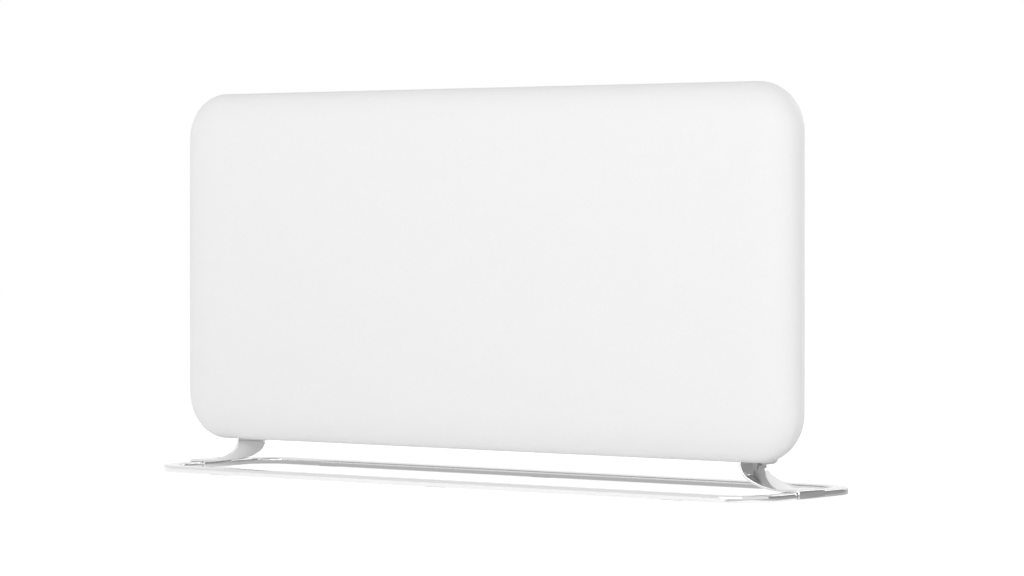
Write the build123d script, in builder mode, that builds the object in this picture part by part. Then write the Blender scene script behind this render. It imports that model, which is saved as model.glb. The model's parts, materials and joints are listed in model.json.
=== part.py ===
"""Free-standing panel convector heater: a pressed steel panel on two bent strip legs and a floor loop.

The origin lies on the floor under the middle of the stand, +X is to the right of someone who faces
the heater, the front faces -Y and +Z is up. All sizes are in millimetres.
"""

from build123d import *
import os
from math import cos, radians, sin, sqrt

os.makedirs("parts", exist_ok=True)

# ---------------------------------------------------------------- driving dimensions
# The panel's outline, and where it stands.
panel_width = 892.0
panel_height = 421.5
panel_bottom = 38.5
rim_back_y = -5.0

# The pressed front: soft corners, an edge that rolls back to the widest line, then inwards to a flange.
shell_sheet = 0.9
edge_inset = 56.0
edge_radius = 17.0
edge_turn = 74.0
corner_core = 0.5
back_roll = 18.0
shell_flange = 32.0
inner_turns = (0.0, 37.0, 74.0, 82.0, 90.0)
back_turns = (90.0, 45.0, 0.0)

# The rear casing, a folded tray screwed to the back of the rim.
casing_sheet = 0.8
casing_inset = 30.0
casing_side_inset = 37.0
casing_depth = 38.0
casing_corner = 13.0
casing_flange = 12.0
casing_back_edge = 7.0
bead_height = 1.4
bead_width = 12.0
bead_end_gap = 89.0
bead_spacing = 60.0

# The grilles let into the casing's windows.
grille_sheet = 0.8
grille_lap = 6.0
grille_end_gap = 59.0
grille_height = 38.0
grille_margin = 6.0
slot_width = 5.5
slot_pitch = 17.5
slot_margin = 3.0

# The floor loop, a flat bar bent to a rounded rectangle, and its pads.
loop_inset = 2.25
loop_depth = 221.5
loop_corner = 50.0
bar_width = 19.0
bar_height = 7.6
bar_top_edge = 2.4
bar_bottom_edge = 0.8
pad_thickness = 0.5
pad_length = 30.0
pad_width = 11.0
pad_end_gap = 113.75

# The legs: strips that hang from the panel, sweep outwards and clasp the end rails.
leg_thickness = 2.8
leg_width = 54.0
leg_reach = 77.15
knee_radius = 20.0
knee_angle = 60.0
sweep_radius = 90.0
clasp_gap = 0.1
clasp_clearance = 1.0
clasp_shoulder = 3.0
jaw_thickness = 2.4
leg_headroom = 4.0
slit_gap = 0.8

# The blocks and brackets that carry the legs under the casing.
block_width = 26.0
block_front_y = 10.0
block_drop = 4.5
block_corner = 9.0
block_relief = 4.0
bracket_sheet = 1.5
clamp_screw_inset = 5.2
clamp_screw_rise = 3.5
clamp_screw_length = 12.0

# Fasteners.
screw_radius = 2.4
screw_head_radius = 4.3
screw_head_height = 2.0
drive_slot = 1.2
drive_depth = 0.8
slot_turn = 40.0

# The control tray in the upper rear corner.
control_end_gap = 34.0
control_drop = 92.0
control_width = 150.0
control_height = 58.0
control_recess = 14.0
control_wall = 2.0
control_lip = 5.0
control_lip_thickness = 1.6
control_corner = 7.0
panel_cutout_gap = 0.3

# The thermostat and its knob.
knob_offset = 40.0
knob_radius = 19.0
knob_height = 13.0
knob_gap = 0.8
knob_skirt = 4.0
grip_length = 34.0
grip_width = 9.0
grip_taper = 4.0
pointer_width = 1.6
pointer_depth = 0.8
pointer_start = 45.0
spindle_radius = 3.0
spindle_flat = 0.8
running_gap = 0.05
thermostat_width = 36.0
thermostat_height = 32.0
thermostat_depth = 22.0

# The rocker switches and the indicator lens.
rocker_offsets = (-8.0, -34.0)
switch_width = 15.8
switch_height = 21.6
switch_lip = 2.2
switch_lip_thickness = 1.6
switch_depth = 20.0
switch_wall = 1.5
rocker_gap = 0.2
rocker_radius = 9.3
rocker_pivot_depth = 4.6
rocker_tilt = 9.0
rocker_valley = 4.4
rocker_peak = 5.5
rocker_base = 4.0
pivot_radius = 1.2
lens_offset = -57.0
lens_side = 8.0
lens_rise = 2.0
lens_body = 9.0
blade_width = 6.3
blade_thickness = 0.8
blade_length = 7.0
blade_spacing = 14.0

# The warm side: duct, finned element, its rod, ends and brackets.
duct_sheet = 0.6
duct_front_gap = 14.0
duct_left_gap = 59.0
duct_control_gap = 20.0
duct_foot = 12.0
duct_clearance = 0.3
foot_height = 180.0
duct_end_gap = 14.0
element_end_gap = 42.5
element_rise = 72.0
element_y = 1.0
hub_radius = 7.0
rod_radius = 4.2
fin_reach = 34.0
fin_angle = 33.0
fin_thickness = 1.8
fin_rib = 9.0
rib_places = (0.97,)
rod_overhang = 30.0
insulator_side = 16.0
insulator_length = 16.0
insulator_collar = 4.0
bracket_front_y = -13.0
bracket_height = 28.0
bracket_foot = 12.0
bracket_plate = 1.2

# The electrical side.
gland_y = 14.0
gland_bore = 3.6
gland_side = 16.0
gland_lip = 2.5
gland_collar_height = 3.0
gland_neck = 5.0
terminal_rise = 80.0
terminal_size = (46.0, 15.0, 22.0)
cutout_radius = 8.0
cutout_height = 8.0
cutout_rise = 150.0
tilt_end_gap = 15.0
tilt_rise = 92.0
tilt_pivot_y = 12.0
tilt_cheek = 2.0
tilt_width = 20.0
tilt_height = 46.0
tilt_base = 2.2
tilt_pin_radius = 1.5
tilt_hub_radius = 4.0
tilt_arm = 20.0
tilt_weight_radius = 6.0
tilt_gap = 0.5

# ---------------------------------------------------------------- places that follow from them
loop_length = panel_width - 2 * loop_inset
pad_spacing = loop_length / 2 - pad_end_gap
leg_face_x = loop_length / 2 - leg_reach
panel_top = panel_bottom + panel_height
block_bottom = panel_bottom - block_drop
panel_middle = panel_bottom + panel_height / 2
corner_radius = edge_inset + corner_core
widest_y = rim_back_y - back_roll
crown_radius = (edge_inset - edge_radius * (1 - cos(radians(edge_turn)))) / cos(radians(edge_turn))
edge_depth = edge_radius * sin(radians(edge_turn)) + crown_radius * (1 - sin(radians(edge_turn)))
front_y = widest_y - edge_depth
casing_width = panel_width - 2 * casing_side_inset
casing_height = panel_height - 2 * casing_inset
casing_bottom = panel_bottom + casing_inset
bead_length = casing_width - 2 * bead_end_gap
grille_width = casing_width - 2 * grille_end_gap
control_x = casing_width / 2 - control_end_gap - control_width / 2
gland_x = control_x
duct_left_x = duct_left_gap - casing_width / 2
duct_right_x = control_x - control_width / 2 - duct_control_gap
element_length = duct_right_x - duct_left_x - 2 * element_end_gap
tilt_x = casing_width / 2 - tilt_end_gap - tilt_width / 2
casing_top = panel_top - casing_inset
casing_back_y = rim_back_y + casing_depth
casing_inner_y = casing_back_y - casing_sheet
bar_top = pad_thickness + bar_height
leg_top = casing_bottom - leg_headroom
leg_outer_x = leg_face_x + leg_thickness
sweep_angle = 90.0 - knee_angle
knee_z = bar_top + sweep_radius * (1 - sin(radians(knee_angle))) + knee_radius * sin(radians(knee_angle))
control_z = casing_top - control_drop
tray_floor_y = casing_back_y - control_recess
tray_inner_y = tray_floor_y - control_wall
window_width = grille_width - 2 * grille_lap
window_height = grille_height - 2 * grille_lap
outlet_z = casing_top - casing_back_edge - grille_margin - grille_height / 2
inlet_z = casing_bottom + casing_back_edge + grille_margin + grille_height / 2
bead_places = (panel_middle - bead_spacing, panel_middle)


def panel_plane(y):
    """An upright plane through the panel's middle at depth y, whose normal points to the back."""
    return Plane(origin=(0, y, panel_middle), x_dir=(-1, 0, 0), z_dir=(0, 1, 0))


def on_edge(turn):
    """The point of the outer edge, out from a corner's middle and back, where it has turned so far."""
    if turn <= edge_turn:
        return (corner_radius - edge_radius * (1 - cos(radians(turn))),
                widest_y - edge_radius * sin(radians(turn)))
    return (corner_radius - edge_inset + crown_radius * cos(radians(turn)),
            front_y + crown_radius * (1 - sin(radians(turn))))


def edge_section(skin):
    """The face from a corner's middle out to the widest line: a tight arc, a flatter crown, a folded back.

    The front of the outer form has true arcs. The hidden inner form is folded along its facets.
    """
    roll = back_roll - skin
    with BuildSketch(mode=Mode.PRIVATE) as section:
        with BuildLine():
            Polyline((corner_radius - edge_inset, front_y + skin), (0, front_y + skin),
                     (0, rim_back_y - skin), (corner_radius - back_roll, rim_back_y - skin))
            Polyline(*[(corner_radius - back_roll + roll * cos(radians(turn)),
                        widest_y + roll * sin(radians(turn))) for turn in back_turns])
            if skin:
                Polyline(*[(on_edge(turn)[0] - skin * cos(radians(turn)),
                            on_edge(turn)[1] + skin * sin(radians(turn))) for turn in inner_turns])
            else:
                CenterArc((corner_radius - edge_radius, widest_y), edge_radius, 0, -edge_turn)
                CenterArc((corner_radius - edge_inset, front_y + crown_radius), crown_radius,
                          270, 90 - edge_turn)
        make_face()
    return section.sketch


def pressed_form(skin):
    """The pillow form from its front face to its back, moved inwards by skin."""
    core_width = panel_width - 2 * corner_radius
    core_height = panel_height - 2 * corner_radius
    with BuildPart() as form:
        with Locations((0, (rim_back_y + front_y) / 2, panel_middle)):
            Box(core_width, rim_back_y - front_y - 2 * skin, core_height)
        for corner in range(4):
            across = 1 if corner < 2 else -1
            upwards = 1 if corner in (0, 3) else -1
            centre = (across * core_width / 2, 0, panel_middle + upwards * core_height / 2)
            run = core_height if corner in (0, 2) else core_width
            for turn in (radians(90 * corner), radians(90 * corner + 90)):
                with BuildSketch(Plane(origin=centre, x_dir=(sin(turn), 0, cos(turn)),
                                       z_dir=(-cos(turn), 0, sin(turn)))):
                    add(edge_section(skin))
                if turn == radians(90 * corner):
                    revolve(axis=Axis(centre, (0, 1, 0)), revolution_arc=90)
                else:
                    extrude(amount=-run)
    return form.part


def mirrored(right_hand):
    """The left-hand twin of a right-hand piece."""
    return mirror(right_hand, about=Plane.YZ)


# ---------------------------------------------------------------- pressed front
slit_width = leg_thickness + 2 * slit_gap
slit_middle_x = leg_face_x + leg_thickness / 2

with BuildPart() as front_shell:
    add(pressed_form(0.0))
    add(pressed_form(shell_sheet), mode=Mode.SUBTRACT)
    # The back is open inside the return flange.
    with BuildSketch(panel_plane(rim_back_y)):
        Rectangle(panel_width - 2 * shell_flange, panel_height - 2 * shell_flange)
    extrude(amount=-shell_sheet, mode=Mode.SUBTRACT)
    # A slit on each side lets the strip of the leg through the underside and the flange.
    with BuildSketch(Plane.XY.offset(panel_bottom - 1)):
        with Locations((slit_middle_x, 0), (-slit_middle_x, 0)):
            Rectangle(slit_width, leg_width + 2 * slit_gap)
    extrude(amount=leg_top + slit_gap - panel_bottom + 1, mode=Mode.SUBTRACT)
front_shell.part.label = "front_shell"
export_step(front_shell.part, "parts/front_shell.step")

# ---------------------------------------------------------------- rear casing
flange_width = casing_width + 2 * casing_flange
flange_height = casing_height + 2 * casing_flange

with BuildPart() as rear_casing:
    with BuildSketch(panel_plane(rim_back_y)):
        RectangleRounded(casing_width, casing_height, casing_corner)
    extrude(amount=casing_depth)
    chamfer(rear_casing.faces().sort_by(Axis.Y)[-1].edges(), casing_back_edge)
    offset(amount=-casing_sheet, openings=rear_casing.faces().sort_by(Axis.Y)[0])
    with BuildSketch(panel_plane(rim_back_y)):
        RectangleRounded(flange_width, flange_height, casing_corner + casing_flange)
        RectangleRounded(casing_width - casing_sheet, casing_height - casing_sheet,
                         casing_corner - casing_sheet / 2, mode=Mode.SUBTRACT)
    extrude(amount=casing_sheet)
    # Windows for the two grilles and for the control tray.
    with BuildSketch(panel_plane(casing_back_y)):
        with Locations((0, outlet_z - panel_middle), (0, inlet_z - panel_middle)):
            Rectangle(window_width, window_height)
        with Locations((-control_x, control_z - panel_middle)):
            RectangleRounded(control_width + 2 * panel_cutout_gap, control_height + 2 * panel_cutout_gap,
                             control_corner + panel_cutout_gap)
    extrude(amount=-casing_sheet, mode=Mode.SUBTRACT)
    # The hole for the lead's bush, and the slits for the legs.
    with BuildSketch(Plane.XY.offset(casing_bottom)):
        with Locations((gland_x, gland_y)):
            Rectangle(gland_side, gland_side)
    extrude(amount=casing_sheet, mode=Mode.SUBTRACT)
    with BuildSketch(Plane.XY.offset(panel_bottom)):
        with Locations((slit_middle_x, 0), (-slit_middle_x, 0)):
            Rectangle(slit_width, leg_width)
    extrude(amount=leg_top + slit_gap - panel_bottom, mode=Mode.SUBTRACT)
    # Two long beads stiffen the flat back.
    with BuildSketch(panel_plane(casing_back_y)):
        with Locations(*[(0, z - panel_middle) for z in bead_places]):
            Rectangle(bead_length, bead_width)
    extrude(amount=bead_height, taper=45)
rear_casing.part.label = "rear_casing"
export_step(rear_casing.part, "parts/rear_casing.step")

# ---------------------------------------------------------------- grilles
slot_count = int((window_width - slot_pitch) / slot_pitch)

for grille_name, grille_z in (("outlet_grille", outlet_z), ("inlet_grille", inlet_z)):
    with BuildPart() as grille:
        with BuildSketch(panel_plane(casing_inner_y - grille_sheet)):
            with Locations((0, grille_z - panel_middle)):
                Rectangle(grille_width, grille_height)
                with GridLocations(slot_pitch, 0, slot_count, 1):
                    Rectangle(slot_width, window_height - 2 * slot_margin, mode=Mode.SUBTRACT)
        extrude(amount=grille_sheet)
    grille.part.label = grille_name
    export_step(grille.part, f"parts/{grille_name}.step")

# ---------------------------------------------------------------- floor loop and pads
with BuildPart() as floor_loop:
    with BuildSketch(Plane.XY.offset(pad_thickness)):
        RectangleRounded(loop_length, loop_depth, loop_corner)
        RectangleRounded(loop_length - 2 * bar_width, loop_depth - 2 * bar_width,
                         loop_corner - bar_width, mode=Mode.SUBTRACT)
    extrude(amount=bar_height)
    chamfer(floor_loop.faces().sort_by(Axis.Z)[-1].edges(), bar_top_edge)
    chamfer(floor_loop.faces().sort_by(Axis.Z)[0].edges(), bar_bottom_edge)
floor_loop.part.label = "floor_loop"
export_step(floor_loop.part, "parts/floor_loop.step")

with BuildPart() as floor_pads:
    with BuildSketch():
        with GridLocations(pad_spacing, loop_depth - bar_width, 3, 2):
            Rectangle(pad_length, pad_width)
    extrude(amount=pad_thickness)
floor_pads.part.label = "floor_pads"
export_step(floor_pads.part, "parts/floor_pads.step")

# ---------------------------------------------------------------- legs
clasp_inner_x = loop_length / 2 + clasp_gap
clasp_outer_x = clasp_inner_x + leg_thickness
knee_centre = (leg_face_x + knee_radius, knee_z)
sweep_centre = (leg_face_x + knee_radius + (sweep_radius - knee_radius) * cos(radians(knee_angle)),
                bar_top + sweep_radius)
strip_top_z = bar_top + leg_thickness

with BuildPart() as leg_right:
    with BuildSketch(Plane.XZ):
        with BuildLine():
            Line((leg_face_x, leg_top), (leg_face_x, knee_z))
            CenterArc(knee_centre, knee_radius, 180, knee_angle)
            CenterArc(sweep_centre, sweep_radius, 180 + knee_angle, sweep_angle)
            Line((sweep_centre[0], bar_top), (clasp_inner_x, bar_top))
            Line((clasp_inner_x, bar_top), (clasp_inner_x, clasp_clearance))
            Line((clasp_inner_x, clasp_clearance), (clasp_outer_x, clasp_clearance))
            Line((clasp_outer_x, clasp_clearance), (clasp_outer_x, strip_top_z - clasp_shoulder))
            CenterArc((clasp_outer_x - clasp_shoulder, strip_top_z - clasp_shoulder),
                      clasp_shoulder, 0, 90)
            Line((clasp_outer_x - clasp_shoulder, strip_top_z), (sweep_centre[0], strip_top_z))
            CenterArc(sweep_centre, sweep_radius - leg_thickness, 270, -sweep_angle)
            CenterArc(knee_centre, knee_radius - leg_thickness, 180 + knee_angle, -knee_angle)
            Line((leg_outer_x, knee_z), (leg_outer_x, leg_top))
            Line((leg_outer_x, leg_top), (leg_face_x, leg_top))
        make_face()
    extrude(amount=leg_width / 2, both=True)
leg_right.part.label = "leg_right"
export_step(leg_right.part, "parts/leg_right.step")

with BuildPart() as leg_left:
    add(mirrored(leg_right.part))
leg_left.part.label = "leg_left"
export_step(leg_left.part, "parts/leg_left.step")

# The inner jaw of each clasp, a plate under the strip against the inside of the end rail.
jaw_x = loop_length / 2 - bar_width - clasp_gap - jaw_thickness / 2

with BuildPart() as clasp_jaws:
    with BuildSketch(Plane.XY.offset(clasp_clearance)):
        with Locations((jaw_x, 0), (-jaw_x, 0)):
            Rectangle(jaw_thickness, leg_width)
    extrude(amount=bar_top - clasp_clearance)
clasp_jaws.part.label = "clasp_jaws"
export_step(clasp_jaws.part, "parts/clasp_jaws.step")

# ---------------------------------------------------------------- leg blocks and brackets
block_outer_x = leg_outer_x + block_width
block_back_y = casing_back_y - bracket_sheet
block_top = casing_bottom - bracket_sheet
clamp_x = leg_outer_x + clamp_screw_inset
clamp_z = block_bottom + clamp_screw_rise

with BuildPart() as right_block:
    with BuildSketch(Plane.XZ.offset(-block_front_y)) as block_outline:
        with Locations(((leg_outer_x + block_outer_x) / 2, (block_bottom + block_top) / 2)):
            Rectangle(block_width, block_top - block_bottom)
        fillet(block_outline.vertices().group_by(Axis.Y)[0].sort_by(Axis.X)[-1], block_corner)
        fillet(block_outline.vertices().group_by(Axis.Y)[0].sort_by(Axis.X)[0], block_relief)
    extrude(amount=-(block_back_y - block_front_y))
    with BuildSketch(Plane.XZ.offset(-block_front_y)):
        with Locations((clamp_x, clamp_z)):
            Circle(screw_radius)
    extrude(amount=-clamp_screw_length, mode=Mode.SUBTRACT)

with BuildPart() as leg_blocks:
    add(right_block.part)
    add(mirrored(right_block.part))
leg_blocks.part.label = "leg_blocks"
export_step(leg_blocks.part, "parts/leg_blocks.step")

with BuildPart() as right_bracket:
    with BuildSketch(Plane.YZ.offset(leg_outer_x)):
        with BuildLine():
            Polyline((block_front_y, casing_bottom), (casing_back_y, casing_bottom),
                     (casing_back_y, block_bottom), (block_back_y, block_bottom),
                     (block_back_y, block_top), (block_front_y, block_top), close=True)
        make_face()
    extrude(amount=block_width)
    lower_corner = right_bracket.edges().filter_by(Axis.Y).group_by(Axis.Z)[0].sort_by(Axis.X)[-1]
    fillet(lower_corner, block_corner)

with BuildPart() as leg_brackets:
    add(right_bracket.part)
    add(mirrored(right_bracket.part))
leg_brackets.part.label = "leg_brackets"
export_step(leg_brackets.part, "parts/leg_brackets.step")

# ---------------------------------------------------------------- fasteners
with BuildPart() as clamp_screws:
    for side in (1, -1):
        head_plane = Plane(origin=(side * clamp_x, block_front_y, clamp_z), x_dir=(1, 0, 0), z_dir=(0, -1, 0))
        with BuildSketch(head_plane):
            Circle(screw_head_radius)
        extrude(amount=screw_head_height)
        with BuildSketch(head_plane.offset(screw_head_height)):
            Rectangle(2 * screw_head_radius, drive_slot, rotation=slot_turn)
        extrude(amount=-drive_depth, mode=Mode.SUBTRACT)
        with BuildSketch(head_plane):
            Circle(screw_radius)
        extrude(amount=-clamp_screw_length)
clamp_screws.part.label = "clamp_screws"
export_step(clamp_screws.part, "parts/clamp_screws.step")

# ---------------------------------------------------------------- control tray
def control_plane(y):
    """An upright plane at depth y through the control tray's middle, seen from the front side."""
    return Plane(origin=(control_x, y, control_z), x_dir=(1, 0, 0), z_dir=(0, -1, 0))


tray_inside_width = control_width - 2 * control_wall
tray_inside_height = control_height - 2 * control_wall

with BuildPart() as control_housing:
    with BuildSketch(control_plane(casing_back_y)):
        RectangleRounded(control_width, control_height, control_corner)
    extrude(amount=control_recess + control_wall)
    with BuildSketch(control_plane(casing_back_y)):
        RectangleRounded(control_width + 2 * control_lip, control_height + 2 * control_lip,
                         control_corner + control_lip)
    extrude(amount=-control_lip_thickness)
    with BuildSketch(control_plane(casing_back_y + control_lip_thickness)):
        RectangleRounded(tray_inside_width, tray_inside_height, control_corner - control_wall)
    extrude(amount=control_recess + control_lip_thickness, mode=Mode.SUBTRACT)
    # Openings in the floor for the spindle, the switches and the lens.
    with BuildSketch(control_plane(tray_floor_y)):
        with Locations((knob_offset, 0)):
            Circle(spindle_radius + control_wall)
        with Locations(*[(offset_x, 0) for offset_x in rocker_offsets]):
            Rectangle(switch_width + rocker_gap, switch_height + rocker_gap)
        with Locations((lens_offset, 0)):
            Rectangle(lens_side, lens_side)
    extrude(amount=control_wall, mode=Mode.SUBTRACT)
control_housing.part.label = "control_housing"
export_step(control_housing.part, "parts/control_housing.step")

# ---------------------------------------------------------------- thermostat and knob
knob_x = control_x + knob_offset
spindle_end_y = tray_inner_y - thermostat_depth * 0.6
knob_base_y = tray_floor_y + knob_gap
knob_bore_depth = knob_height - 4.0

with BuildPart() as thermostat_body:
    with BuildSketch(Plane(origin=(knob_x, tray_inner_y, control_z), x_dir=(1, 0, 0), z_dir=(0, -1, 0))):
        Rectangle(thermostat_width, thermostat_height)
    extrude(amount=thermostat_depth)
    with BuildSketch(Plane(origin=(knob_x, tray_inner_y, control_z), x_dir=(1, 0, 0), z_dir=(0, -1, 0))):
        Circle(spindle_radius + running_gap)
    extrude(amount=tray_inner_y - spindle_end_y + running_gap, mode=Mode.SUBTRACT)
    # Two blade terminals on the lower side.
    with BuildSketch(Plane.XY.offset(control_z - thermostat_height / 2)):
        with Locations((knob_x - blade_spacing / 2, tray_inner_y - thermostat_depth / 2),
                       (knob_x + blade_spacing / 2, tray_inner_y - thermostat_depth / 2)):
            Rectangle(blade_width, blade_thickness)
    extrude(amount=-blade_length)
thermostat_body.part.label = "thermostat_body"
export_step(thermostat_body.part, "parts/thermostat_body.step")

with BuildPart() as thermostat_spindle:
    with BuildSketch(Plane(origin=(knob_x, spindle_end_y, control_z), x_dir=(1, 0, 0), z_dir=(0, 1, 0))):
        Circle(spindle_radius)
    extrude(amount=knob_base_y + knob_bore_depth - spindle_end_y)
    with BuildSketch(Plane(origin=(knob_x, knob_base_y, control_z), x_dir=(1, 0, 0), z_dir=(0, 1, 0))):
        with Locations((0, spindle_radius)):
            Rectangle(2 * spindle_radius, 2 * spindle_flat)
    extrude(amount=knob_bore_depth, mode=Mode.SUBTRACT)
thermostat_spindle.part.label = "thermostat_spindle"
export_step(thermostat_spindle.part, "parts/thermostat_spindle.step")

knob_plane = Plane(origin=(knob_x, knob_base_y, control_z), x_dir=(1, 0, 0), z_dir=(0, 1, 0))

with BuildPart() as thermostat_knob:
    with BuildSketch(knob_plane):
        Circle(knob_radius)
    extrude(amount=knob_skirt)
    # The grip is a bar across the skirt.
    with BuildSketch(knob_plane.offset(knob_skirt)):
        Rectangle(grip_length, grip_width, rotation=pointer_start)
    extrude(amount=knob_height - knob_skirt, taper=grip_taper)
    # The bore has a flat that drives the spindle.
    with BuildSketch(knob_plane):
        Circle(spindle_radius)
        with Locations((0, spindle_radius)):
            Rectangle(2 * spindle_radius, 2 * spindle_flat, mode=Mode.SUBTRACT)
    extrude(amount=knob_bore_depth, mode=Mode.SUBTRACT)
    # The pointer groove runs from the middle of the grip to one end, at the off mark.
    with BuildSketch(knob_plane.offset(knob_height)):
        with Locations(Location((0, 0, 0), (0, 0, pointer_start))):
            Rectangle(knob_radius, pointer_width, align=(Align.MIN, Align.CENTER))
    extrude(amount=-pointer_depth, mode=Mode.SUBTRACT)
thermostat_knob.part.label = "thermostat_knob"
export_step(thermostat_knob.part, "parts/thermostat_knob.step")

# ---------------------------------------------------------------- rocker switches
pivot_y = tray_floor_y + switch_lip_thickness - rocker_pivot_depth
rocker_width = switch_width - 2 * switch_wall - 2 * rocker_gap
well_half_height = rocker_radius + rocker_gap
well_floor_y = pivot_y - rocker_radius
peak_reach = sqrt(rocker_radius ** 2 - rocker_peak ** 2)
base_reach = sqrt(rocker_radius ** 2 - rocker_base ** 2)
pin_reach = switch_width / 2 - rocker_gap

for number, offset_x in enumerate(rocker_offsets, start=1):
    switch_x = control_x + offset_x
    with BuildPart() as heat_switch:
        with BuildSketch(Plane(origin=(switch_x, tray_floor_y, control_z), x_dir=(1, 0, 0),
                               z_dir=(0, -1, 0))):
            Rectangle(switch_width, switch_height)
        extrude(amount=switch_depth)
        with BuildSketch(Plane(origin=(switch_x, tray_floor_y, control_z), x_dir=(1, 0, 0),
                               z_dir=(0, -1, 0))):
            RectangleRounded(switch_width + 2 * switch_lip, switch_height + 2 * switch_lip, switch_lip)
        extrude(amount=-switch_lip_thickness)
        with BuildSketch(Plane(origin=(switch_x, tray_floor_y + switch_lip_thickness, control_z),
                               x_dir=(1, 0, 0), z_dir=(0, -1, 0))):
            Rectangle(switch_width - 2 * switch_wall, 2 * well_half_height)
        extrude(amount=tray_floor_y + switch_lip_thickness - well_floor_y, mode=Mode.SUBTRACT)
        # The rocker's pins snap down into an open notch in each side of the well.
        notch_bottom_y = pivot_y - pivot_radius - running_gap
        notch_top_y = tray_floor_y + switch_lip_thickness
        with BuildSketch(Plane(origin=(switch_x, (notch_bottom_y + notch_top_y) / 2, control_z),
                               x_dir=(0, 1, 0), z_dir=(1, 0, 0))):
            Rectangle(notch_top_y - notch_bottom_y, 2 * (pivot_radius + running_gap))
        extrude(amount=pin_reach + rocker_gap / 2, both=True, mode=Mode.SUBTRACT)
        with BuildSketch(Plane(origin=(switch_x, tray_floor_y - switch_depth, control_z), x_dir=(1, 0, 0),
                               z_dir=(0, -1, 0))):
            with GridLocations(0, blade_spacing * 0.8, 1, 2):
                Rectangle(blade_width, blade_thickness)
        extrude(amount=blade_length)
    heat_switch.part.label = f"heat_switch_{number}"
    export_step(heat_switch.part, f"parts/heat_switch_{number}.step")

    lean = radians(rocker_tilt)
    with BuildPart() as heat_rocker:
        with BuildSketch(Plane(origin=(switch_x, pivot_y, control_z), x_dir=(0, cos(lean), -sin(lean)),
                               z_dir=(1, 0, 0))):
            with BuildLine():
                Polyline((rocker_peak, peak_reach), (rocker_valley, 0), (rocker_peak, -peak_reach),
                         (-rocker_base, -base_reach), (-rocker_base, base_reach), close=True)
            make_face()
        extrude(amount=rocker_width / 2, both=True)
        with BuildSketch(Plane(origin=(switch_x, pivot_y, control_z), x_dir=(0, 1, 0), z_dir=(1, 0, 0))):
            Circle(pivot_radius)
        extrude(amount=pin_reach, both=True)
    heat_rocker.part.label = f"heat_rocker_{number}"
    export_step(heat_rocker.part, f"parts/heat_rocker_{number}.step")

with BuildPart() as pilot_lens:
    with BuildSketch(control_plane(tray_inner_y)):
        with Locations((lens_offset, 0)):
            Rectangle(lens_side, lens_side)
    extrude(amount=-(control_wall + lens_rise))
    chamfer(pilot_lens.faces().sort_by(Axis.Y)[-1].edges(), lens_rise / 2)
    with BuildSketch(control_plane(tray_inner_y)):
        with Locations((lens_offset, 0)):
            Rectangle(lens_side + control_wall, lens_side + control_wall)
    extrude(amount=lens_body)
pilot_lens.part.label = "pilot_lens"
export_step(pilot_lens.part, "parts/pilot_lens.step")

# ---------------------------------------------------------------- duct and element
duct_front_y = front_y + shell_sheet + duct_front_gap
duct_back_y = casing_inner_y - grille_sheet - duct_clearance
duct_bottom = casing_bottom + duct_end_gap
duct_height = casing_height - 2 * duct_end_gap
duct_middle_x = (duct_left_x + duct_right_x) / 2
element_z = casing_bottom + element_rise

with BuildPart() as heat_duct:
    with BuildSketch(Plane.XY.offset(duct_bottom)):
        with BuildLine():
            Polyline((duct_left_x, duct_back_y), (duct_left_x, duct_front_y),
                     (duct_right_x, duct_front_y), (duct_right_x, duct_back_y),
                     (duct_right_x - duct_sheet, duct_back_y),
                     (duct_right_x - duct_sheet, duct_front_y + duct_sheet),
                     (duct_left_x + duct_sheet, duct_front_y + duct_sheet),
                     (duct_left_x + duct_sheet, duct_back_y), close=True)
        make_face()
    extrude(amount=duct_height)
    # Feet on both sides reach the casing's back between the grilles.
    with BuildSketch(Plane.XY.offset(panel_middle - foot_height / 2)):
        with BuildLine():
            Polyline((duct_left_x + duct_sheet, duct_back_y), (duct_left_x + duct_sheet, casing_inner_y),
                     (duct_left_x - duct_foot, casing_inner_y),
                     (duct_left_x - duct_foot, casing_inner_y - duct_sheet),
                     (duct_left_x, casing_inner_y - duct_sheet), (duct_left_x, duct_back_y), close=True)
        make_face()
        with BuildLine():
            Polyline((duct_right_x - duct_sheet, duct_back_y), (duct_right_x - duct_sheet, casing_inner_y),
                     (duct_right_x + duct_foot, casing_inner_y),
                     (duct_right_x + duct_foot, casing_inner_y - duct_sheet),
                     (duct_right_x, casing_inner_y - duct_sheet), (duct_right_x, duct_back_y), close=True)
        make_face()
    extrude(amount=foot_height)
heat_duct.part.label = "heat_duct"
export_step(heat_duct.part, "parts/heat_duct.step")

with BuildPart() as element_fins:
    with BuildSketch(Plane(origin=(duct_middle_x, element_y, element_z), x_dir=(0, 1, 0), z_dir=(1, 0, 0))):
        Circle(hub_radius)
        for turn in (90 - fin_angle, 90 + fin_angle, 270 - fin_angle, 270 + fin_angle):
            with Locations(Location((0, 0, 0), (0, 0, turn))):
                Rectangle(fin_reach, fin_thickness, align=(Align.MIN, Align.CENTER))
                with Locations(*[(fin_reach * share, 0) for share in rib_places]):
                    Rectangle(fin_thickness, fin_rib)
        Circle(rod_radius, mode=Mode.SUBTRACT)
    extrude(amount=element_length / 2, both=True)
element_fins.part.label = "element_fins"
export_step(element_fins.part, "parts/element_fins.step")

rod_length = element_length + 2 * rod_overhang

with BuildPart() as element_rod:
    with BuildSketch(Plane(origin=(duct_middle_x, element_y, element_z), x_dir=(0, 1, 0), z_dir=(1, 0, 0))):
        Circle(rod_radius)
    extrude(amount=rod_length / 2, both=True)
element_rod.part.label = "element_rod"
export_step(element_rod.part, "parts/element_rod.step")

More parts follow.
